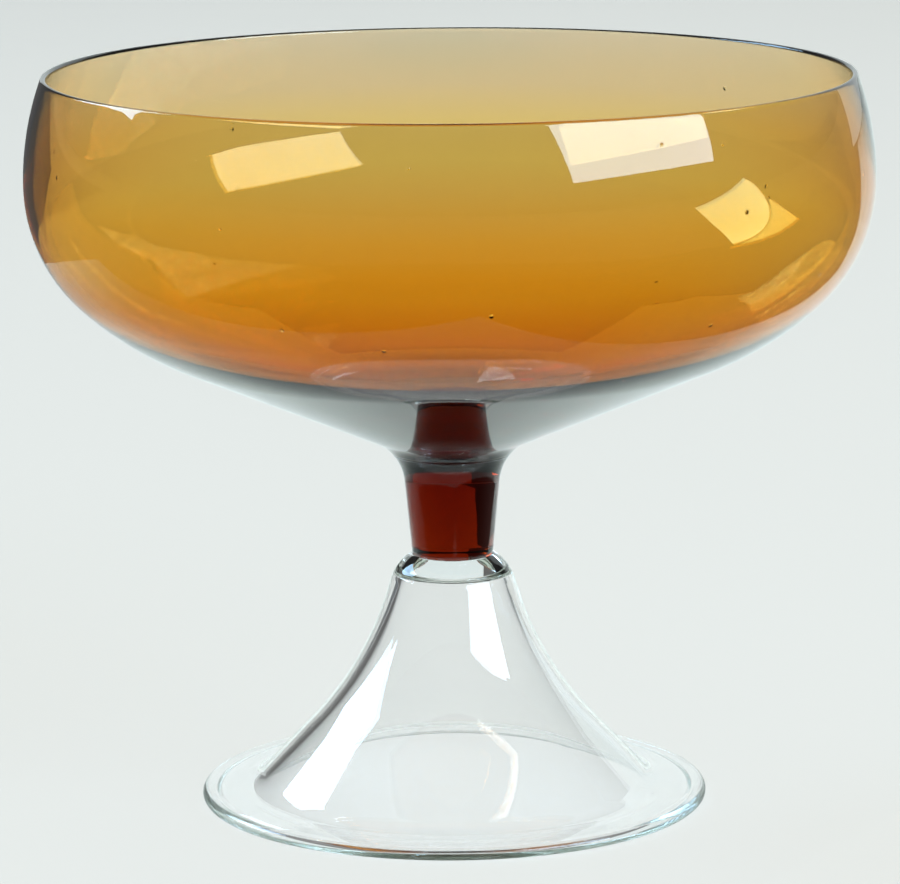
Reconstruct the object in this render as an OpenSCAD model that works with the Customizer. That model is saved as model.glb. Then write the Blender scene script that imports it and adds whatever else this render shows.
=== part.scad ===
// Sherbet glass: an amber blown bowl on a solid amber stem, joined by a clear
// button (the merese) to a clear, hollow, trumpet-shaped foot.
// Every piece is turned about the Z axis. The table is at z = 0. Millimetres and degrees.

/* [Foot] */
// Outer diameter of the foot
foot_d = 66.5; // [56:0.5:76]
// Height of the foot's neck, where the merese sits, above the table
foot_h = 30.1; // [25:0.1:40]
// Wall of the blown foot
foot_wall = 1.4; // [1:0.1:2]
// Thickness of the foot's rounded edge
foot_edge = 1.6; // [1.4:0.1:2.4]
// Width of the flat ring that touches the table
contact_w = 1.3; // [0.8:0.1:2]
// Width of the flange from its edge to where the trumpet would meet it unrounded
flange_w = 6.85; // [5:0.05:9]
// Rise of the flange towards the middle
flange_slope = 4; // [1:0.5:8]
// Radius of the bend between the flange and the trumpet
bend_r = 4.5; // [2:0.1:6]
// Steepness of the trumpet where it leaves the neck's shoulder
neck_slope = 74.6; // [70:0.1:80]
// How much flatter the trumpet ends than a straight line from its neck to its flange
flare_sag = 9.5; // [5:0.5:14]

/* [Merese] */
// Height of the merese
merese_h = 2.5; // [1.5:0.1:4]
// Radius of the rounded shoulder that the merese and the neck share
shoulder_r = 5.7; // [5.2:0.1:6.5]
// Steepness of the shoulder where it leaves the stem
shoulder_slope = 27.6; // [20:0.1:35]
// Depth of the dome in the merese's underside, the crown of the hollow foot
crown_depth = 0.6; // [0.2:0.1:1]

/* [Stem] */
// Diameter of the stem where it stands on the merese
stem_d = 10.6; // [8:0.1:13]
// Height of the stem from the merese to the bowl
stem_h = 13.35; // [10:0.05:30]
// Widening of the stem towards the bowl, on each side
stem_taper = 5.5; // [0:0.5:8]
// Radius of the hollow curve from the stem into the underside of the bowl
fillet_r = 6.8; // [4:0.1:9]
// Steepness of that curve where the stem is stuck to the bowl
joint_slope = 50; // [40:1:60]

/* [Bowl] */
// Largest diameter of the bowl
belly_d = 110; // [90:1:130]
// Height of the rim above the belly
rim_rise = 13.8; // [8:0.1:20]
// Wall of the bowl from the belly to the heel
bowl_wall = 1.2; // [0.9:0.1:2]
// Wall of the bowl at the rim
rim_wall = 0.8; // [0.6:0.1:1.2]
// Radius of the side above the belly
side_r = 38.5; // [30:0.5:60]
// Radius of the heel below the belly
heel_r = 21; // [15:0.5:26]
// Turn of the heel
heel_turn = 48; // [40:1:55]
// Radius of the outer curve from the heel to the underside
under_r = 42.3; // [30:0.1:50]
// Slope of the underside
under_slope = 23.4; // [18:0.1:28]
// Radius of the inner curve from the heel to the floor
floor_r = 36; // [28:0.5:42]
// How much flatter the floor is than the underside, which makes the bottom heavy
floor_taper = 4.4; // [3:0.1:6]
// Diameter of the shallow well in the middle of the floor
well_d = 35; // [24:0.5:40]
// Slope of the well at its edge
well_slope = 9; // [6:0.5:12]
// Radius that softens the edge of the well
well_edge_r = 8; // [3:0.5:12]

/* [Hidden] */
$fn = 144;
amber = "#c58a2a";
deep_amber = "#6e1c08";
clear_glass = "#dde6e4";

// An outline is a list of points and of arcs [centre, radius, first angle, last angle].
// It runs counter-clockwise, so an arc with a growing angle bulges and the others hollow.
function on_circle(c, r, a) = c + r * [cos(a), sin(a)];
function is_arc(e) = len(e) == 4;
function first(e) = is_arc(e) ? on_circle(e[0], e[1], e[2]) : e;
function last(e) = is_arc(e) ? on_circle(e[0], e[1], e[3]) : e;
function sense(e) = sign(e[3] - e[2]);
// Arcs that only touch would leave their joint to rounding. So each arc is drawn a few microns
// large and runs on past its ends, except into a tighter arc of its sense, and they cross cleanly.
overlap = 0.3;
function drawn_r(r) = r + max(0.001, min(0.003, pow(overlap, 2) / (2 * r)));
function run_on(e, next, gap) =
    is_arc(next) && gap < overlap && sense(next) == sense(e) && next[1] < e[1] ? 0
        : min(35, 75 * overlap / e[1]);
// Where the line from p at angle a meets the line from q at angle b
function crossing(p, a, q, b) =
    let (d = q - p, s = (d.x * sin(b) - d.y * cos(b)) / sin(b - a)) p + s * [cos(a), sin(a)];

// Heights of the three joints
stem_z = foot_h + merese_h;
bowl_z = stem_z + stem_h;

// The shoulder is one arc: the merese has its upper part and the neck its lower part
stem_r = stem_d / 2;
shoulder_c = [stem_r, stem_z] - shoulder_r * [sin(shoulder_slope), cos(shoulder_slope)];
neck_angle = asin((foot_h - shoulder_c.y) / shoulder_r);
neck_hollow_r = shoulder_r - foot_wall;
neck_hollow_angle = asin((foot_h - shoulder_c.y) / neck_hollow_r);
hollow_r = shoulder_c.x + neck_hollow_r * cos(neck_hollow_angle);

// The flange, the bend and the trumpet
foot_r = foot_d / 2;
edge_r = foot_edge / 2;
edge_c = [foot_r - edge_r, edge_r];
flange_end = edge_c + edge_r * [sin(flange_slope), cos(flange_slope)];
bend_corner = flange_end + (flange_w - edge_r) * [-1, tan(flange_slope)];
shoulder_turn = 90 - neck_slope;
neck_end = on_circle(shoulder_c, shoulder_r, shoulder_turn);
chord_slope = atan2(neck_end.y - bend_corner.y, bend_corner.x - neck_end.x);
cone_slope = chord_slope - flare_sag;
flare_corner = crossing(neck_end, -neck_slope, bend_corner, 180 - cone_slope);
flare_r = norm(flare_corner - neck_end) / tan((neck_slope - cone_slope) / 2);
flare_c = on_circle(neck_end, flare_r, shoulder_turn);
bend_cut = bend_r * tan((cone_slope - flange_slope) / 2);
bend_start = bend_corner + bend_cut * [cos(flange_slope), -sin(flange_slope)];
bend_c = bend_start + bend_r * [sin(flange_slope), cos(flange_slope)];

// The stem's side and the hollow curve above it, which stem and bowl share
fillet_c = [
    stem_r + (stem_h - fillet_r * (cos(joint_slope) - sin(stem_taper))) * tan(stem_taper)
        + fillet_r * cos(stem_taper),
    bowl_z - fillet_r * cos(joint_slope)];

// The bowl's outside, from the underside up to the belly and the rim
belly_r = belly_d / 2;
heel_end = heel_r * [cos(heel_turn), -sin(heel_turn)] + [belly_r - heel_r, 0];
under_end = heel_end + under_r * [sin(under_slope) - cos(heel_turn), sin(heel_turn) - cos(under_slope)];
cone_foot = on_circle(fillet_c, fillet_r, 90 + under_slope);
belly_z = cone_foot.y + (under_end.x - cone_foot.x) * tan(under_slope) - under_end.y;
heel_c = [belly_r - heel_r, belly_z];
under_c = on_circle(heel_c, heel_r - under_r, -heel_turn);
side_c = [belly_r - side_r, belly_z];
lip_r = rim_wall / 2;
rim_angle = asin((rim_rise - lip_r) / (side_r - lip_r));
lip_c = on_circle(side_c, side_r - lip_r, rim_angle);

// The bowl's inside, from the lip to the belly: an arc on the belly's level that touches the lip
belly_in_r = belly_r - bowl_wall;
lip_reach = belly_in_r + lip_r;
side_in_x = (pow(lip_reach, 2) - pow(lip_c.x, 2) - pow(lip_c.y - belly_z, 2)) / (2 * (lip_reach - lip_c.x));
side_in_c = [side_in_x, belly_z];
side_in_r = belly_in_r - side_in_x;
rim_in_angle = atan2(lip_c.y - belly_z, lip_c.x - side_in_x);

// The bowl's inside, from the heel down to the floor and the well
inner_heel_r = heel_r - bowl_wall;
floor_slope = under_slope - floor_taper;
floor_c = on_circle(heel_c, inner_heel_r - floor_r, -heel_turn);
floor_start = on_circle(floor_c, floor_r, floor_slope - 90);
well_r = well_d / 2;
well_dish_r = well_r / sin(well_slope);
well_edge_run = well_edge_r * (sin(floor_slope) - sin(well_slope));
well_edge_rise = well_edge_r * (cos(well_slope) - cos(floor_slope));
floor_end_z = floor_start.y - (floor_start.x - well_r - well_edge_run) * tan(floor_slope);
well_rim = [well_r, floor_end_z - well_edge_rise];
well_edge_c = well_rim + well_edge_r * [-sin(well_slope), cos(well_slope)];
well_c = [0, well_rim.y + well_dish_r * cos(well_slope)];

// The part of a circle that an arc adds or cuts, given its neighbours in the outline
module slice_of(e, before, after) {
    from = e[2] - sense(e) * run_on(e, before, norm(first(e) - last(before)));
    to = e[3] + sense(e) * run_on(e, after, norm(last(e) - first(after)));
    far = 3 * e[1];
    intersection() {
        translate(e[0]) circle(drawn_r(e[1]));
        polygon([
            on_circle(e[0], e[1], from),
            on_circle(e[0], e[1], to),
            on_circle(e[0], far, to),
            on_circle(e[0], far, (from + to) / 2),
            on_circle(e[0], far, from)]);
    }
}

// The slices of all arcs of one sense
module slices(outline, way) {
    n = len(outline);
    for (i = [0 : n - 1])
        if (is_arc(outline[i]) && sense(outline[i]) == way)
            slice_of(outline[i], outline[(i + n - 1) % n], outline[(i + 1) % n]);
}

// A solid turned about the Z axis from an outline, between two heights
module turned(outline, low, high) {
    rotate_extrude() intersection() {
        translate([0, low]) square([belly_d, high - low]);
        difference() {
            union() {
                polygon([for (e = outline) each [first(e), last(e)]]);
                slices(outline, 1);
            }
            slices(outline, -1);
        }
    }
}

// Blown amber bowl: thin at the fire-polished rim, heavy at the bottom
module bowl() {
    color(amber) turned([
        [0, bowl_z],
        [fillet_c, fillet_r, 90 + joint_slope, 90 + under_slope],
        [under_c, under_r, under_slope - 90, -heel_turn],
        [heel_c, heel_r, -heel_turn, 0],
        [side_c, side_r, 0, rim_angle],
        [lip_c, lip_r, rim_angle, rim_in_angle + 180],
        [side_in_c, side_in_r, rim_in_angle, 0],
        [heel_c, inner_heel_r, 0, -heel_turn],
        [floor_c, floor_r, -heel_turn, floor_slope - 90],
        [well_edge_c, well_edge_r, floor_slope - 90, well_slope - 90],
        [well_c, well_dish_r, well_slope - 90, -90]], bowl_z, belly_z + side_r);
}

// Solid amber stem, stuck to the bowl's flat seat and flaring up to it
module stem() {
    color(deep_amber) turned([
        [0, stem_z],
        [stem_r, stem_z],
        [fillet_c, fillet_r, 180 - stem_taper, 90 + joint_slope],
        [0, bowl_z]], stem_z, bowl_z);
}

// Clear button that carries the stem and closes the hollow foot
module merese() {
    crown_r = (pow(hollow_r, 2) + pow(crown_depth, 2)) / (2 * crown_depth);
    crown_c = [0, foot_h + crown_depth - crown_r];
    crown_angle = asin(hollow_r / crown_r);
    color(clear_glass) turned([
        [crown_c, crown_r, 90, 90 - crown_angle],
        [shoulder_c, shoulder_r, neck_angle, 90 - shoulder_slope],
        [0, stem_z]], foot_h, stem_z);
}

// Clear blown trumpet, open below, that rests on a narrow flat ring
module foot() {
    contact_r = edge_c.x - contact_w;
    under_flange = on_circle(bend_c, bend_r + foot_wall, -90 - flange_slope);
    ring_top = crossing(under_flange, -flange_slope, [contact_r, 0], 135);
    color(clear_glass) turned([
        [contact_r, 0],
        [edge_c, edge_r, -90, 90 - flange_slope],
        [bend_c, bend_r, -90 - flange_slope, -90 - cone_slope],
        [flare_c, flare_r, 270 - cone_slope, 180 + shoulder_turn],
        [shoulder_c, shoulder_r, shoulder_turn, neck_angle],
        [shoulder_c, neck_hollow_r, neck_hollow_angle, shoulder_turn],
        [flare_c, flare_r + foot_wall, 180 + shoulder_turn, 270 - cone_slope],
        [bend_c, bend_r + foot_wall, -90 - cone_slope, -90 - flange_slope],
        ring_top], 0, foot_h);
}

bowl();
stem();
merese();
foot();
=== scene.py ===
# %% [markdown]
# # A sherbet glass in four pieces of glass
# The glass was blown and built up hot: an amber bowl, a solid amber stem, a clear button and a
# clear hollow foot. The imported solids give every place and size. This lesson turns each piece
# again as a fine, smooth surface, because refraction shows every facet that a plain solid would
# hide, and then gives it the glass, the table and the light that the photograph has.

import math

import bpy
import numpy as np
from mathutils import Matrix


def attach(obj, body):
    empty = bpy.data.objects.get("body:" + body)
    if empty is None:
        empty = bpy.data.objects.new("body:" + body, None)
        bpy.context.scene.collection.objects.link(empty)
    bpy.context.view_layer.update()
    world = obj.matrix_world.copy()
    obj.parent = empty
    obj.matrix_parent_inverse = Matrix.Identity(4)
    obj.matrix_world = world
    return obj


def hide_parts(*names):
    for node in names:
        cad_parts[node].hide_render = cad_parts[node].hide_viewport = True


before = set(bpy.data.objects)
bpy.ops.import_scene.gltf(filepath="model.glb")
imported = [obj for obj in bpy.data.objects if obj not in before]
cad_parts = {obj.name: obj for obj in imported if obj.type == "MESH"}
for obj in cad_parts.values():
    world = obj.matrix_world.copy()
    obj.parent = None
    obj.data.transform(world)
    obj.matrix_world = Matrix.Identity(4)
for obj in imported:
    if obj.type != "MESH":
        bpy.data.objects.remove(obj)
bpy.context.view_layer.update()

# %% [markdown]
# ## Arcs and points
# A glass that is turned about its axis is one outline carried round that axis. The outline is a
# chain of arcs that run smoothly into each other. A Bezier curve could be drawn for it, but arcs
# keep the maker's radii, so a small helper that lays points on an arc is all that the profiles
# need. Lengths here are in millimetres, as on a maker's drawing.

# %% Helpers for outlines
MM = 0.001
STEP = 0.35  # usual spacing of points along an arc, in millimetres


def on_circle(centre, radius, angle):
    """The point of a circle at an angle in degrees: centre + radius * (cos, sin)."""
    turn = math.radians(angle)
    return np.array(centre) + radius * np.array([math.cos(turn), math.sin(turn)])


def arc(centre, radius, first, last, step=STEP):
    """Points along a circle from one angle to another, evenly spaced by about one step."""
    count = max(4, int(abs(math.radians(last - first)) * radius / step) + 1)
    turn = np.radians(np.linspace(first, last, count))
    return np.array(centre) + radius * np.column_stack([np.cos(turn), np.sin(turn)])


def straight(start, end, step=1.0):
    """Points on the line from start to end: start + (end - start) * share, for shares from 0 to 1."""
    start, end = np.array(start, float), np.array(end, float)
    count = max(2, int(np.linalg.norm(end - start) / step) + 1)
    share = np.linspace(0, 1, count)[:, None]
    return start + (end - start) * share


def chain(*runs):
    """Runs of points joined to one outline, without the points that two runs share."""
    points = np.vstack(runs)
    apart = np.linalg.norm(np.diff(points, axis=0), axis=1) > 1e-4
    return points[np.concatenate([[True], apart])]


print("outline helpers ready, step", STEP, "mm")

# %% [markdown]
# ## Turning an outline
# A surface of revolution is a function of two parameters: u runs along the outline and v round
# the axis, with x = r(u) cos v, y = r(u) sin v and z = z(u). Blender's Screw modifier or a spin
# could do it too, but a grid of numpy arrays closes seams and poles exactly and lets each face
# carry a mark. The mark "fused" says that a face lies inside the glass, where two hot pieces ran
# together and there is no surface to see.

# %% The grid of a turned outline
AROUND = 240  # facets round the axis


def turned_faces(outline):
    """Points and faces of a turned outline: point (u, v) is (r(u) cos v, r(u) sin v, z(u)).

    Where the outline starts and ends on the axis, each end is one pole with a fan of triangles.
    Otherwise its last point joins its first, which makes a ring.
    """
    poles = abs(outline[0, 0]) < 1e-9 and abs(outline[-1, 0]) < 1e-9
    rings = outline[1:-1] if poles else outline
    v = np.linspace(0, 2 * np.pi, AROUND, endpoint=False)
    r, z = rings[:, :1], rings[:, 1:]
    grid = np.stack([r * np.cos(v), r * np.sin(v), z + 0 * v], axis=-1).reshape(-1, 3)
    count = len(rings)
    low = np.arange(count - 1 if poles else count)[:, None]
    high = (low + 1) % count
    here = np.arange(AROUND)[None, :]
    there = (here + 1) % AROUND
    faces = [np.stack([low * AROUND + here, low * AROUND + there,
                       high * AROUND + there, high * AROUND + here], axis=-1).reshape(-1, 4)]
    if poles:
        first_pole, last_pole = len(grid), len(grid) + 1
        grid = np.vstack([grid, [[0, 0, outline[0, 1]], [0, 0, outline[-1, 1]]]])
        ring = np.arange(AROUND)
        after = (ring + 1) % AROUND
        top = (count - 1) * AROUND
        faces.append(np.stack([np.full(AROUND, first_pole), after, ring], axis=-1))
        faces.append(np.stack([np.full(AROUND, last_pole), top + ring, top + after], axis=-1))
    return grid, faces


print("each outline goes round in", AROUND, "steps")

# %% [markdown]
# The faces then go into a mesh as whole arrays. A fused seat is told by its height and by the
# radius from which it is fused, because a seat can keep a film of air in its middle.

# %% The mesh of a turned outline
NEAR_SEAT = 0.05  # millimetres within which a level face counts as lying at a seat
EXACT = 1e-6  # millimetres of rounding that a level face may have


def turned(name, outline, fused_seats=()):
    """A closed mesh of a turned outline, with a mark on its fused faces.

    Each seat is a pair of height and inner radius. A face is fused if it is level, its mean height
    is that of the seat, and its nearest corner is no closer to the axis than the inner radius.
    """
    grid, faces = turned_faces(outline)
    corners = np.concatenate([f.ravel() for f in faces])
    sides = np.concatenate([np.full(len(f), f.shape[1]) for f in faces])
    starts = np.concatenate([[0], np.cumsum(sides)[:-1]]).astype(np.int32)
    mesh = bpy.data.meshes.new(name)
    mesh.vertices.add(len(grid))
    mesh.vertices.foreach_set("co", (grid * MM).ravel())
    mesh.loops.add(len(corners))
    mesh.loops.foreach_set("vertex_index", corners.astype(np.int32))
    mesh.polygons.add(len(sides))
    mesh.polygons.foreach_set("loop_start", starts)
    mesh.update(calc_edges=True)
    x, y, z = grid[corners].T
    heights = np.add.reduceat(z, starts) / sides
    spread = np.maximum.reduceat(z, starts) - np.minimum.reduceat(z, starts)
    reach = np.minimum.reduceat(np.hypot(x, y), starts)
    fused = np.zeros(len(sides), bool)
    for height, inner in fused_seats:
        fused |= (abs(heights - height) < NEAR_SEAT) & (spread < EXACT) & (reach > inner - EXACT)
    mesh.polygons.foreach_set("use_smooth", ~fused)
    mark = mesh.attributes.new("fused", "FLOAT", "FACE")
    mark.data.foreach_set("value", fused.astype(np.float32))
    mesh.validate()
    piece = bpy.data.objects.new(name, mesh)
    bpy.context.scene.collection.objects.link(piece)
    print(name, "has", len(sides), "faces, of which", int(fused.sum()), "are inside the glass")
    return piece


# %% [markdown]
# ## The measures
# These are the driving sizes of the part, in millimetres and degrees. They are the values of the
# part's own source, apart from the dome under the button, which is a little flatter here because
# its reflection then looks as it does in the photograph.

# %% Sizes
foot_d, foot_h, foot_wall, foot_edge = 66.5, 30.1, 1.4, 1.6
contact_w, flange_w, flange_slope, bend_r = 1.3, 6.85, 4.0, 4.5
neck_slope, flare_sag = 74.6, 9.5
merese_h, shoulder_r, shoulder_slope, crown_depth = 2.5, 5.7, 27.6, 0.3
stem_d, stem_h, stem_taper, fillet_r, joint_slope = 10.6, 13.35, 5.5, 6.8, 50.0
belly_d, rim_rise, bowl_wall, rim_wall, side_r = 110.0, 13.8, 1.2, 0.8, 38.5
heel_r, heel_turn, under_r, under_slope = 21.0, 48.0, 42.3, 23.4
floor_r, floor_taper, well_d, well_slope, well_edge_r = 36.0, 4.4, 35.0, 9.0, 8.0


def sind(a):
    """Sine of an angle in degrees."""
    return math.sin(math.radians(a))


def cosd(a):
    """Cosine of an angle in degrees."""
    return math.cos(math.radians(a))


def tand(a):
    """Tangent of an angle in degrees."""
    return math.tan(math.radians(a))


stem_z = foot_h + merese_h
bowl_z = stem_z + stem_h
print("seats at", foot_h, round(stem_z, 2), round(bowl_z, 2), "mm")

# %% [markdown]
# Two arcs meet without a crease when both centres lie on one line through the meeting point. So
# each centre below is the last one, moved along that line by the difference of the two radii.

# %% Arc centres of the stem and of the bowl's outside
stem_r = stem_d / 2
fillet_c = np.array([
    stem_r + (stem_h - fillet_r * (cosd(joint_slope) - sind(stem_taper))) * tand(stem_taper)
    + fillet_r * cosd(stem_taper),
    bowl_z - fillet_r * cosd(joint_slope)])
belly_r = belly_d / 2
heel_end = heel_r * np.array([cosd(heel_turn), -sind(heel_turn)]) + [belly_r - heel_r, 0]
under_end = heel_end + under_r * np.array(
    [sind(under_slope) - cosd(heel_turn), sind(heel_turn) - cosd(under_slope)])
cone_foot = on_circle(fillet_c, fillet_r, 90 + under_slope)
belly_z = cone_foot[1] + (under_end[0] - cone_foot[0]) * tand(under_slope) - under_end[1]
heel_c = np.array([belly_r - heel_r, belly_z])
under_c = on_circle(heel_c, heel_r - under_r, -heel_turn)
side_c = np.array([belly_r - side_r, belly_z])
lip_r = rim_wall / 2
rim_angle = math.degrees(math.asin((rim_rise - lip_r) / (side_r - lip_r)))
lip_c = on_circle(side_c, side_r - lip_r, rim_angle)
print("belly at", round(belly_z, 2), "mm, rim at", round(belly_z + rim_rise, 2), "mm")

# %% Arc centres of the bowl's inside
belly_in_r = belly_r - bowl_wall
lip_reach = belly_in_r + lip_r
lip_rise = lip_c[1] - belly_z
side_in_x = (lip_reach ** 2 - lip_c[0] ** 2 - lip_rise ** 2) / (2 * (lip_reach - lip_c[0]))
side_in_c = np.array([side_in_x, belly_z])
side_in_r = belly_in_r - side_in_x
rim_in_angle = math.degrees(math.atan2(lip_rise, lip_c[0] - side_in_x))
inner_heel_r = heel_r - bowl_wall
floor_slope = under_slope - floor_taper
floor_c = on_circle(heel_c, inner_heel_r - floor_r, -heel_turn)
floor_start = on_circle(floor_c, floor_r, floor_slope - 90)
well_r = well_d / 2
well_dish_r = well_r / sind(well_slope)
well_edge_run = well_edge_r * (sind(floor_slope) - sind(well_slope))
well_edge_rise = well_edge_r * (cosd(well_slope) - cosd(floor_slope))
floor_end_z = floor_start[1] - (floor_start[0] - well_r - well_edge_run) * tand(floor_slope)
well_rim = np.array([well_r, floor_end_z - well_edge_rise])
well_edge_c = well_rim + well_edge_r * np.array([-sind(well_slope), cosd(well_slope)])
well_c = np.array([0, well_rim[1] + well_dish_r * cosd(well_slope)])
print("lowest point inside the bowl at", round(well_c[1] - well_dish_r, 2), "mm")

# %% [markdown]
# ## The bowl
# The bowl is one blown skin: its outline starts on the axis at the seat where the stem is stuck,
# runs out along the underside, round the heel and the belly, over the fire-polished lip, and back
# down the inside to the shallow well. Two pieces that touch would share a face, and a ray could
# not tell which it meets first, so each seat stays a hundredth of a millimetre back.

# %% The bowl
HAIR = 0.01  # half the space between two fused seats, in millimetres
NIP = 0.1  # degrees by which the hollow curve stops short of the seat on either side

seat_edge = on_circle(fillet_c, fillet_r, 90 + joint_slope)
bowl_outline = chain(
    straight([0, bowl_z + HAIR], [seat_edge[0], bowl_z + HAIR]),
    arc(fillet_c, fillet_r, 90 + joint_slope - NIP, 90 + under_slope),
    straight(cone_foot, on_circle(under_c, under_r, under_slope - 90)),
    arc(under_c, under_r, under_slope - 90, -heel_turn),
    arc(heel_c, heel_r, -heel_turn, 0),
    arc(side_c, side_r, 0, rim_angle),
    arc(lip_c, lip_r, rim_angle, rim_in_angle + 180, step=0.06),
    arc(side_in_c, side_in_r, rim_in_angle, 0),
    arc(heel_c, inner_heel_r, 0, -heel_turn),
    arc(floor_c, floor_r, -heel_turn, floor_slope - 90),
    arc(well_edge_c, well_edge_r, floor_slope - 90, well_slope - 90, step=0.2),
    arc(well_c, well_dish_r, well_slope - 90, -90, step=0.6))
bowl_outline[-1, 0] = 0
bowl = turned("amber_bowl", bowl_outline, [(bowl_z, 0)])

# %% [markdown]
# ## The stem
# The stem is a solid gather of the same amber glass, drawn down to a slight waist and flared up
# into the bowl with the same hollow curve, so the two outlines run into one another. Where it was
# set on the button a thin film of air stayed in the middle of the seat. The film mirrors light and
# makes the white oval under the stem, so only the ring round it is marked as fused.

# %% The stem
AIR_FILM = 4.2  # radius of the film of air between stem and button, in millimetres

stem_side = fillet_c + fillet_r * np.array([-cosd(stem_taper), sind(stem_taper)])
stem_outline = chain(
    straight([0, stem_z + HAIR], [stem_r, stem_z + HAIR], step=0.1),
    straight([stem_r, stem_z + HAIR], stem_side, step=0.5),
    arc(fillet_c, fillet_r, 180 - stem_taper, 90 + joint_slope + NIP, step=0.2),
    straight([seat_edge[0], bowl_z - HAIR], [0, bowl_z - HAIR]))
stem = turned("amber_stem", stem_outline, [(bowl_z, 0), (stem_z, AIR_FILM)])

# %% [markdown]
# ## The button
# The clear button, or merese, is a squashed bit of glass between stem and foot. Its underside is
# domed, because it closes the hollow of the foot. The edges that meet under it are rounded, which
# leaves the fine groove that catches the light. A Bevel modifier could round them, but a small arc
# in the outline does it with no stray faces.

# %% The shoulder, the hollow and the groove
shoulder_c = on_circle([stem_r, stem_z], -shoulder_r, 90 - shoulder_slope)
neck_hollow_r = shoulder_r - foot_wall
neck_hollow_angle = math.degrees(math.asin((foot_h - shoulder_c[1]) / neck_hollow_r))
hollow_r = shoulder_c[0] + neck_hollow_r * cosd(neck_hollow_angle)
crown_r = (hollow_r ** 2 + crown_depth ** 2) / (2 * crown_depth)
crown_c = np.array([0, foot_h + crown_depth - crown_r])
crown_angle = math.degrees(math.asin(hollow_r / crown_r))
upper_groove, lower_groove = 0.3, 0.2  # radii of the groove's two rounded edges, in millimetres


def groove_edge(level, rise):
    """Centre and end angle of a small circle that touches the level seat and the shoulder from inside.

    Its radius is the rise, which is negative below the seat. The centre lies one radius from the
    seat and the shoulder's radius less its own from the shoulder's centre.
    """
    height = level + rise + math.copysign(HAIR, rise)
    reach = shoulder_r - abs(rise)
    angle = math.degrees(math.asin((height - shoulder_c[1]) / reach))
    return on_circle(shoulder_c, reach, angle), angle


print("hollow of the neck", round(2 * hollow_r, 2), "mm wide, dome of radius", round(crown_r, 1), "mm")

# %% The button
SHOULDER_NIP = 0.15  # degrees by which the shoulder stops short of the seat

upper_c, upper_angle = groove_edge(foot_h, upper_groove)
button_top_angle = 90 - shoulder_slope - SHOULDER_NIP
button_outline = chain(
    arc(crown_c, crown_r, 90, 90 - crown_angle, step=0.2),
    straight([hollow_r, foot_h + HAIR], [upper_c[0], foot_h + HAIR], step=0.3),
    arc(upper_c, upper_groove, -90, upper_angle, step=0.04),
    arc(shoulder_c, shoulder_r, upper_angle, button_top_angle, step=0.15),
    straight([stem_r, stem_z - HAIR], [0, stem_z - HAIR], step=0.1))
button_outline[0, 0] = 0
button = turned("clear_button", button_outline, [(stem_z, AIR_FILM), (foot_h, 0)])

# %% [markdown]
# ## The foot
# The foot was blown too: a hollow trumpet, opened at the bottom and flattened to a narrow flange
# with a rounded edge. Its outline never meets the axis, so it closes into a ring. The trumpet's
# arc is found from its two end tangents: they cross in a corner, and the arc touches both.

# %% Arc centres of the foot
RING_BEVEL = 135  # degrees: direction of the bevel from the resting ring up to the flange


def crossing(p, a, q, b):
    """Where the line from p at angle a meets the line from q at angle b, in degrees."""
    d = q - p
    along = (d[0] * sind(b) - d[1] * cosd(b)) / sind(b - a)
    return p + along * np.array([cosd(a), sind(a)])


foot_r = foot_d / 2
edge_r = foot_edge / 2
edge_c = np.array([foot_r - edge_r, edge_r])
flange_end = edge_c + edge_r * np.array([sind(flange_slope), cosd(flange_slope)])
bend_corner = flange_end + (flange_w - edge_r) * np.array([-1, tand(flange_slope)])
shoulder_turn = 90 - neck_slope
neck_end = on_circle(shoulder_c, shoulder_r, shoulder_turn)
chord_slope = math.degrees(math.atan2(neck_end[1] - bend_corner[1], bend_corner[0] - neck_end[0]))
cone_slope = chord_slope - flare_sag
flare_corner = crossing(neck_end, -neck_slope, bend_corner, 180 - cone_slope)
flare_r = np.linalg.norm(flare_corner - neck_end) / tand((neck_slope - cone_slope) / 2)
flare_c = on_circle(neck_end, flare_r, shoulder_turn)
bend_cut = bend_r * tand((cone_slope - flange_slope) / 2)
bend_start = bend_corner + bend_cut * np.array([cosd(flange_slope), -sind(flange_slope)])
bend_c = bend_start + bend_r * np.array([sind(flange_slope), cosd(flange_slope)])
contact_r = edge_c[0] - contact_w
under_flange = on_circle(bend_c, bend_r + foot_wall, -90 - flange_slope)
ring_top = crossing(under_flange, -flange_slope, np.array([contact_r, 0]), RING_BEVEL)
print("trumpet of radius", round(flare_r, 1), "mm, resting ring from", round(contact_r, 2), "mm outwards")

# %% The foot
HOLLOW_NIP = 0.2  # degrees by which the hollow of the neck stops short of the seat

lower_c, lower_angle = groove_edge(foot_h, -lower_groove)
neck_top_angle = neck_hollow_angle - HOLLOW_NIP
foot_outline = chain(
    straight([contact_r, 0], [edge_c[0], 0], step=0.3),
    arc(edge_c, edge_r, -90, 90 - flange_slope, step=0.1),
    arc(bend_c, bend_r, -90 - flange_slope, -90 - cone_slope, step=0.15),
    arc(flare_c, flare_r, 270 - cone_slope, 180 + shoulder_turn),
    arc(shoulder_c, shoulder_r, shoulder_turn, lower_angle, step=0.15),
    arc(lower_c, lower_groove, lower_angle, 90, step=0.04),
    straight([lower_c[0], foot_h - HAIR], [hollow_r, foot_h - HAIR], step=0.3),
    arc(shoulder_c, neck_hollow_r, neck_top_angle, shoulder_turn, step=0.15),
    arc(flare_c, flare_r + foot_wall, 180 + shoulder_turn, 270 - cone_slope),
    arc(bend_c, bend_r + foot_wall, -90 - cone_slope, -90 - flange_slope, step=0.15),
    straight(under_flange, ring_top, step=0.3))
foot = turned("clear_foot", foot_outline, [(foot_h, 0)])

# %% [markdown]
# ## Colours and nodes
# Colours are easiest to name as the hex codes of a paint chart, but Blender reckons in linear
# light, so one function turns a code into linear values. A second one adds any node, sets it and
# links it, so that a material reads as a list of nodes.

# %% Colours and nodes


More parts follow.
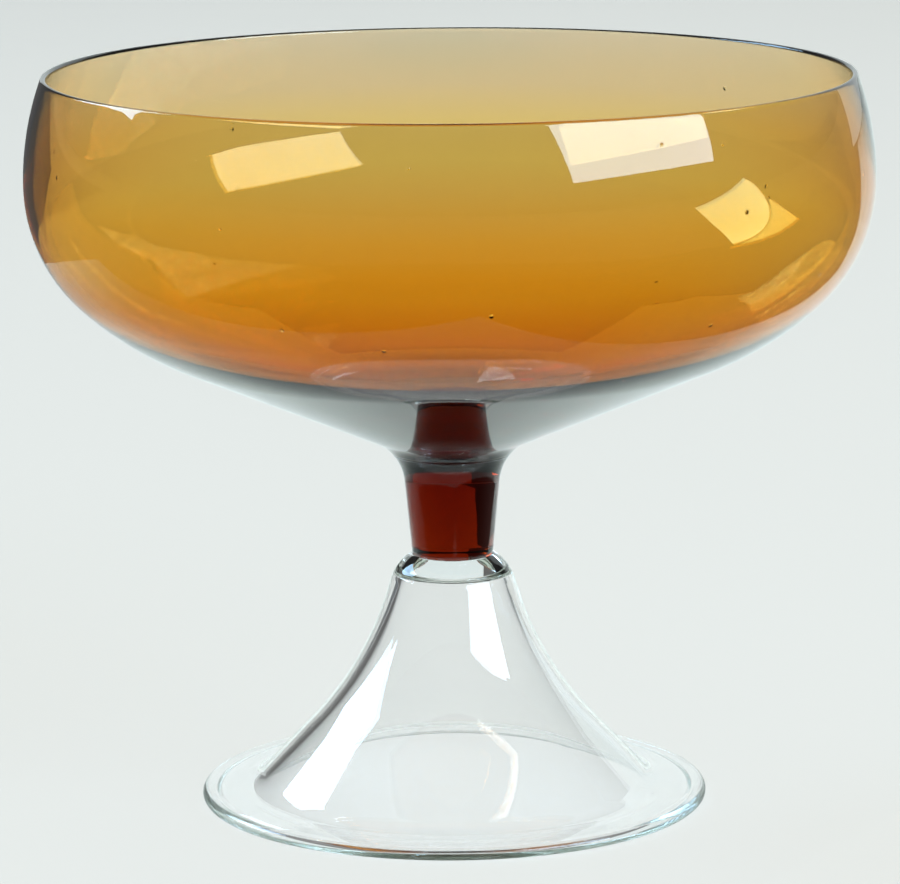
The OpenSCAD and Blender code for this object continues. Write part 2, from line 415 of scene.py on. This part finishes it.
def paint(code):
    """An sRGB hex code as linear red, green, blue and alpha: each part goes through the sRGB curve."""
    part = np.array([int(code[i:i + 2], 16) for i in (1, 3, 5)]) / 255
    linear = np.where(part <= 0.04045, part / 12.92, ((part + 0.055) / 1.055) ** 2.4)
    return (*linear.tolist(), 1.0)


def add_node(tree, kind, settings=(), links=()):
    """Add a node, set its sockets or properties by name, and link its sockets to what feeds them.

    The setting "stops" fills a colour ramp with pairs of a place and a hex code, where the places
    run from the ramp's start to its end in any unit.
    """
    node = tree.nodes.new(kind)
    for name, value in dict(settings).items():
        if name == "stops":
            stops = node.color_ramp.elements
            while len(stops) < len(value):
                stops.new(0.5)
            for stop, (place, code) in zip(stops, value):
                stop.position = (place - value[0][0]) / (value[-1][0] - value[0][0])
                stop.color = paint(code)
        elif name in node.inputs:
            node.inputs[name].default_value = value
        else:
            setattr(node, name, value)
    for socket, source in dict(links).items():
        tree.links.new(source, node.inputs[socket])
    return node


print("amber in linear light:", [round(part, 3) for part in paint("#f6d358")])

# %% [markdown]
# ## Glass
# All the glass is soda-lime glass with a fire-polished, almost perfectly smooth skin. Its colour
# comes from absorption: light loses blue and then green on its way through, so a thin wall is
# straw yellow and the solid stem a deep red. A Volume Absorption node does just that. A blown skin
# also swells by some hundredths of a millimetre and holds a few seeds, tiny bubbles, which bend
# what is seen through it, so noise and Voronoi cells go into the bump. Where two pieces were fused
# there is no surface, so the index of refraction there is 1 and light goes straight on.

# %% A function for glass
GLASS_INDEX = 1.5  # usual for soda-lime glass
NO_SURFACE = 1.0  # index that lets light go straight on
SEED_CELL = 8  # millimetres from one seed to the next, about


def glass(name, depth_code, density, wave, seed_r, height_stops=()):
    """Polished glass, coloured by depth: light left = exp(-density * (1 - colour) * metres of path).

    The wave is a pair of length and height, and seed_r a seed's radius, in millimetres. The skin is
    clear, or tinted by height where stops in millimetres above the table are given.
    """
    material = bpy.data.materials.new(name)
    material.use_nodes = True
    tree = material.node_tree
    tree.nodes.clear()
    fused = add_node(tree, "ShaderNodeAttribute", {"attribute_name": "fused"})
    index = add_node(tree, "ShaderNodeMapRange", {"To Min": GLASS_INDEX, "To Max": NO_SURFACE},
                     {"Value": fused.outputs["Fac"]})
    place = add_node(tree, "ShaderNodeTexCoord").outputs["Object"]
    swell = add_node(tree, "ShaderNodeTexNoise", {"Scale": 1 / (wave[0] * MM), "Detail": 1.0},
                     {"Vector": place})
    skin_wave = add_node(tree, "ShaderNodeBump", {"Strength": 1.0, "Distance": wave[1] * MM},
                         {"Height": swell.outputs[0]})
    cells = add_node(tree, "ShaderNodeTexVoronoi", {"Scale": 1 / (SEED_CELL * MM)}, {"Vector": place})
    seed = add_node(tree, "ShaderNodeMapRange",
                    {"From Max": seed_r / SEED_CELL, "To Min": 1.0, "To Max": 0.0},
                    {"Value": cells.outputs["Distance"]})
    bumps = add_node(tree, "ShaderNodeBump", {"Strength": 1.0, "Distance": seed_r / 2 * MM},
                     {"Height": seed.outputs["Result"], "Normal": skin_wave.outputs[0]})
    skin = add_node(tree, "ShaderNodeBsdfPrincipled",
                    {"Base Color": paint("#ffffff"), "Roughness": 0.0, "Transmission Weight": 1.0},
                    {"IOR": index.outputs["Result"], "Normal": bumps.outputs[0]})
    if height_stops:
        parts = add_node(tree, "ShaderNodeSeparateXYZ", links={"Vector": place})
        share = add_node(tree, "ShaderNodeMapRange",
                         {"From Min": height_stops[0][0] * MM, "From Max": height_stops[-1][0] * MM},
                         {"Value": parts.outputs["Z"]})
        ramp = add_node(tree, "ShaderNodeValToRGB", {"stops": height_stops},
                        {"Fac": share.outputs["Result"]})
        tree.links.new(ramp.outputs["Color"], skin.inputs["Base Color"])
    depth = add_node(tree, "ShaderNodeVolumeAbsorption",
                     {"Color": paint(depth_code), "Density": density})
    add_node(tree, "ShaderNodeOutputMaterial",
             links={"Surface": skin.outputs[0], "Volume": depth.outputs[0]})
    print(name, "has", len(tree.nodes), "nodes")
    return material


# %% [markdown]
# ## The three glasses
# The bowl's amber deepens towards the base, where the gather was thickest and struck longest, and
# fades to smoke at the rim, which was reheated last. The stem was struck dark all through. The
# button and the foot are clear, with the faint green of common glass, which shows only in the
# foot's edge, where light runs a long way inside.

# %% The glasses and the pieces made of them
# Amber soda-lime glass, blown and fire-polished: highlights stay sharp, but wide, shallow swells let
# their edges wander a little. Its few seeds are drawn at the large end of real ones, so that they show.
amber_glass = glass("amber_soda_lime_glass", "#f6d358", 765, (22, 0.01), 0.3, [
    (49, "#593f10"), (53, "#f6ce3f"), (61, "#f7cb3c"), (65, "#f7da7c"), (68, "#f8e69e"),
    (75, "#ffffc0"), (82, "#fff6bc"), (88, "#f7f5e7"), (95, "#f1f3f0")])
# The same glass struck to a deep red-brown and drawn by hand: short swells ripple what it mirrors.
struck_glass = glass("struck_amber_soda_lime_glass", "#ebc458", 1000, (5, 0.06), 0.2)
# Clear soda-lime glass, blown and opened with a tool: swells of a centimetre or so bend its highlights.
clear_glass = glass("clear_soda_lime_glass", "#e1eae4", 20, (12, 0.03), 0.2)
for piece, material, node, slot in (
        (bowl, amber_glass, "bowl", "amber_glass"), (stem, struck_glass, "stem", "amber_glass"),
        (button, clear_glass, "merese", "clear_glass"), (foot, clear_glass, "foot", "clear_glass")):
    piece.data.materials.append(material)
    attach(piece, "root")
    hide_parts(node)
    print(piece.name, "stands for", node, "in", material.name)

# %% [markdown]
# ## What each kind of ray sees
# Glass shows its surroundings twice: by reflection and by refraction. A studio uses cards and
# screens for each, just outside the picture. Blender can let a piece of the stage be seen by some
# kinds of ray only, which gives the same control with less to set up. Clear glass casts hardly any
# shadow, but a renderer's straight shadow rays stop at it, so the clear pieces cast none here.

# %% A function for what rays see
RAY_KINDS = ("camera", "diffuse", "glossy", "transmission", "shadow")


def show_only_to(piece, kinds):
    """Let only the named kinds of ray see a piece: each switch is on if its kind is named."""
    for kind in RAY_KINDS:
        setattr(piece, "visible_" + kind, kind in kinds)


for piece in (button, foot):
    show_only_to(piece, ("camera", "diffuse", "glossy", "transmission"))
    print(piece.name, "casts no shadow")

# %% [markdown]
# ## Table
# The glass stands on a wide, pale, matt sheet that fills the picture. A bright sheet that went on
# for ever would also show in every reflection and wash the amber out. In the studio the sheet ends
# just outside the picture, so the table that reflections see has edges. A copy of the sheet that
# only reflections see has shade painted into its colour, darker towards the front and the left. A
# dark card that only the glass shows, behind it at the left, is painted shade: it draws the bowl's
# dark edge.

# %% A function for flat pieces of the stage


def flat_piece(name, corners, height, code, kinds, painted_shade_stops=(), painted_shade_fade=()):
    """A flat, matt sheet with the given corners in metres, seen only by the kinds of ray named.

    Painted shade can go into its colour: stops over y in metres, times a fade over x, which is given
    as the two places and the two shares that the colour has there.
    """
    mesh = bpy.data.meshes.new(name)
    mesh.from_pydata([(x, y, height) for x, y in corners], [], [tuple(range(len(corners)))])
    piece = bpy.data.objects.new(name, mesh)
    bpy.context.scene.collection.objects.link(piece)
    show_only_to(piece, kinds)
    # Uncoated paper: rough, with hardly any sheen, so it looks evenly lit.
    paper = bpy.data.materials.new(name + "_paper")
    paper.use_nodes = True
    tree = paper.node_tree
    matt = tree.nodes["Principled BSDF"]
    matt.inputs["Base Color"].default_value = paint(code)
    matt.inputs["Roughness"].default_value = 0.8
    matt.inputs["Specular IOR Level"].default_value = 0.1
    # Painted shade: the stops and the fade darken the colour towards the front and the left.
    if painted_shade_stops:
        place = add_node(tree, "ShaderNodeTexCoord").outputs["Object"]
        parts = add_node(tree, "ShaderNodeSeparateXYZ", links={"Vector": place})
        share = add_node(tree, "ShaderNodeMapRange",
                         {"From Min": painted_shade_stops[0][0], "From Max": painted_shade_stops[-1][0]},
                         {"Value": parts.outputs["Y"]})
        ramp = add_node(tree, "ShaderNodeValToRGB", {"stops": painted_shade_stops},
                        {"Fac": share.outputs["Result"]})
        left_shade = add_node(tree, "ShaderNodeMapRange",
                        dict(zip(("From Min", "From Max", "To Min", "To Max"), painted_shade_fade)),
                        {"Value": parts.outputs["X"]})
        shaded_colour = add_node(tree, "ShaderNodeVectorMath", {"operation": "MULTIPLY"},
                         {0: ramp.outputs["Color"], 1: left_shade.outputs["Result"]})
        tree.links.new(shaded_colour.outputs[0], matt.inputs["Base Color"])
    mesh.materials.append(paper)
    print(name, "is seen by", ", ".join(kinds))


# %% The table, the sheet in reflections and the card, both with painted shade
FAR = 6.0  # metres to the table's edges
SHEET_Z, CARD_Z, TABLE_Z = -0.0001, -0.00015, -0.0002  # metres: just under the foot, a hair apart
# The card's dark colour is painted shade, seen only through the glass.
TABLE_CODE, SHADE_CARD_CODE = "#6e6f6c", "#1c1c1c"

flat_piece("table", [(-FAR, -FAR), (FAR, -FAR), (FAR, FAR), (-FAR, FAR)], TABLE_Z, TABLE_CODE,
           ("camera", "diffuse", "transmission", "shadow"))
sheet_corners = [
    (0.012, -0.092), (0.040, -0.040), (0.089, 0.042), (0.141, 0.155), (0.388, 0.448), (1.5, 1.9),
    (1.5, 4.0), (-0.3, 4.0), (-0.14, 0.6), (-0.125, 0.3), (-0.160, 0.175), (-0.205, 0.050)]
# Painted shade for the sheet that reflections see: darker towards the front, and at the left by the fade.
painted_shade_front_to_back = [
    (-0.09, "#3c403e"), (-0.02, "#3f4341"), (0.025, "#595e5b"), (0.06, "#717773"), (0.09, "#787e7b")]
flat_piece("painted_shade_sheet", sheet_corners, SHEET_Z, TABLE_CODE, ("glossy",),
           painted_shade_front_to_back, (-0.105, -0.06, 0.5, 1.0))
# Painted shade: a dark card that only the glass shows, lying where the table is.
flat_piece("painted_shade_card", [
    (-0.147, 0.30), (-0.147, 0.40), (-0.155, 0.43), (-0.155, 1.2), (-1.2, 1.2), (-1.2, 0.30)],
    CARD_Z, SHADE_CARD_CODE, ("transmission",))

# %% [markdown]
# ## Screens
# A bright backdrop stands behind the glass, and a dimmer screen goes round the front, seen only
# through the glass, so that the foot's edge isn't black. For low views a pale screen hides the end
# of the table. Each is a curved sheet that glows by itself, which keeps it even from top to bottom.

# %% The screens
SCREEN_STEPS = 60
SCREEN_HEIGHT = 2.0  # metres
SCREEN_CODE = "#e6f0f0"


def glowing_screen(name, azimuths, radius, strength, kinds=RAY_KINDS):
    """A curved screen: point (u, v) is (radius sin u, -radius cos u, height * v), with v from 0 to 1."""
    u = np.radians(np.linspace(*azimuths, SCREEN_STEPS + 1))
    x, y = radius * np.sin(u), -radius * np.cos(u)
    z = np.repeat([0, SCREEN_HEIGHT], SCREEN_STEPS + 1)
    grid = np.stack([np.tile(x, 2), np.tile(y, 2), z], axis=-1)
    low = np.arange(SCREEN_STEPS)
    high = low + SCREEN_STEPS + 1
    mesh = bpy.data.meshes.new(name)
    mesh.from_pydata(grid.tolist(), [], np.stack([low, low + 1, high + 1, high], axis=-1).tolist())
    screen = bpy.data.objects.new(name, mesh)
    bpy.context.scene.collection.objects.link(screen)
    show_only_to(screen, kinds)
    # White cloth lit from behind: its glow is all that shows, so its own colour is black.
    cloth = bpy.data.materials.new(name + "_cloth")
    cloth.use_nodes = True
    matt = cloth.node_tree.nodes["Principled BSDF"]
    matt.inputs["Base Color"].default_value = paint("#000000")
    matt.inputs["Emission Color"].default_value = paint(SCREEN_CODE)
    matt.inputs["Emission Strength"].default_value = strength
    mesh.materials.append(cloth)
    print(name, "from", azimuths[0], "to", azimuths[1], "degrees, strength", strength)


glowing_screen("backdrop", (138, 196), 3.0, 1.0)
glowing_screen("front_screen", (-130, 138), 3.0, 0.3, ("transmission",))
glowing_screen("far_screen", (-180, 180), 1.6, 0.85, ("camera",))

# %% [markdown]
# ## Light
# Two soft boxes make the highlights: one at the right, in front, and a smaller one at the left, a
# little behind. Their light is cool, because most of it is seen through the amber, which warms it.
# A wide fill overhead lights the table evenly. It casts no shadow and, unlike a white ceiling, it
# shows in no reflection. Area lights are used because their edges can be seen in the glass.

# %% The soft boxes and the fill
BOWL_LEVEL = 0.08  # metres, about the middle of the bowl


def soft_box(name, azimuth, elevation, distance, width, height, strength, code, aside=(0, 0)):
    """A rectangular light that faces the bowl from a distance in metres, moved aside in x and y.

    Azimuth runs from the camera's side towards the right and elevation from the table, in degrees.
    Width and height are shares of the distance. Its power is strength * area * pi, which gives its
    surface that brightness whatever its size.
    """
    across = cosd(elevation)
    towards = np.array([sind(azimuth) * across, -cosd(azimuth) * across, sind(elevation)])
    place = distance * towards + np.array([*aside, BOWL_LEVEL])
    lamp = bpy.data.lights.new(name, "AREA")
    lamp.shape = "RECTANGLE"
    lamp.size, lamp.size_y = width * distance, height * distance
    lamp.energy = strength * lamp.size * lamp.size_y * math.pi
    lamp.color = paint(code)[:3]
    box = bpy.data.objects.new(name, lamp)
    bpy.context.scene.collection.objects.link(box)
    box.matrix_world = (Matrix.Translation(place) @ Matrix.Rotation(math.radians(azimuth), 4, "Z")
                        @ Matrix.Rotation(math.radians(90 - elevation), 4, "X"))
    print(name, "has", round(lamp.energy), "W")
    return box


soft_box("right_soft_box", 53.5, 24, 2.2, 0.77, 0.44, 11, "#d4eaff")
soft_box("left_soft_box", -116, 29, 2.2, 0.60, 0.41, 12, "#b5ddff")
overhead = soft_box("overhead_fill", 0, 90, 2.5, 1.8, 1.8, 9.5, "#ffffff", (0.4, -0.4))
show_only_to(overhead, ("diffuse", "shadow"))
overhead.data.use_shadow = False
overhead.data.cycles.use_multiple_importance_sampling = False

# %% [markdown]
# ## Room
# The rest of the room is dim: darker in front of the glass, a little lighter behind it and overhead.
# A picture of a room could light the scene, but two ranges over the direction of a ray, one from
# front to back and one upwards, are enough when they are added.

# %% The room
world = bpy.data.worlds.new("studio")
bpy.context.scene.world = world
world.use_nodes = True
sky = world.node_tree
look = add_node(sky, "ShaderNodeTexCoord").outputs["Generated"]
axes = add_node(sky, "ShaderNodeSeparateXYZ", links={"Vector": look})
room = add_node(sky, "ShaderNodeMapRange",
                {"From Min": -0.3, "From Max": 0.5, "To Min": 0.03, "To Max": 0.13},
                {"Value": axes.outputs["Y"]})
ceiling = add_node(sky, "ShaderNodeMapRange",
                   {"From Min": 0.45, "From Max": 0.95, "To Min": 0.0, "To Max": 0.3},
                   {"Value": axes.outputs["Z"]})
both = add_node(sky, "ShaderNodeMath", {"operation": "ADD"},
                {0: room.outputs["Result"], 1: ceiling.outputs["Result"]})
sky.links.new(both.outputs[0], sky.nodes["Background"].inputs["Strength"])
sky.nodes["Background"].inputs["Color"].default_value = paint("#ffffff")
print("the room's light is worked out by", len(sky.nodes), "nodes")

# %% [markdown]
# ## Camera
# The camera was found from the outline of the glass: a long lens, a little above the rim. Its focal
# length is measured in pixels of a picture 900 wide, which a sensor of 36 mm turns to millimetres.

# %% The camera
FOCAL_PX, IMAGE_WIDTH, SENSOR = 4888.3, 900, 36
CAMERA_PLACE = (-0.000224, -0.62689, 0.17045)  # metres
LOOK_DOWN, ROLL = 11.109, -0.4409  # degrees

lens = bpy.data.cameras.new("camera")
lens.sensor_width = SENSOR
lens.lens = FOCAL_PX / IMAGE_WIDTH * SENSOR
lens.clip_start = 0.01
camera = bpy.data.objects.new("camera", lens)
bpy.context.scene.collection.objects.link(camera)
camera.matrix_world = (Matrix.Translation(CAMERA_PLACE)
                       @ Matrix.Rotation(math.radians(90 - LOOK_DOWN), 4, "X")
                       @ Matrix.Rotation(math.radians(ROLL), 4, "Z"))
bpy.context.scene.camera = camera
print("lens of", round(lens.lens, 1), "mm")

# %% [markdown]
# ## Bounces
# Light that runs inside the foot's flange is turned back dozens of times before it gets out. With
# the usual dozen bounces the flange's ends go black, so reflection and refraction get more.

# %% Bounces and colour
BOUNCES = 64

scene = bpy.context.scene
scene.view_settings.view_transform = "Standard"
scene.cycles.max_bounces = BOUNCES
scene.cycles.transmission_bounces = BOUNCES
scene.cycles.glossy_bounces = BOUNCES
scene.cycles.diffuse_bounces = 4
scene.cycles.transparent_max_bounces = 32
scene.cycles.use_denoising = True
print("light may bounce", scene.cycles.max_bounces, "times")
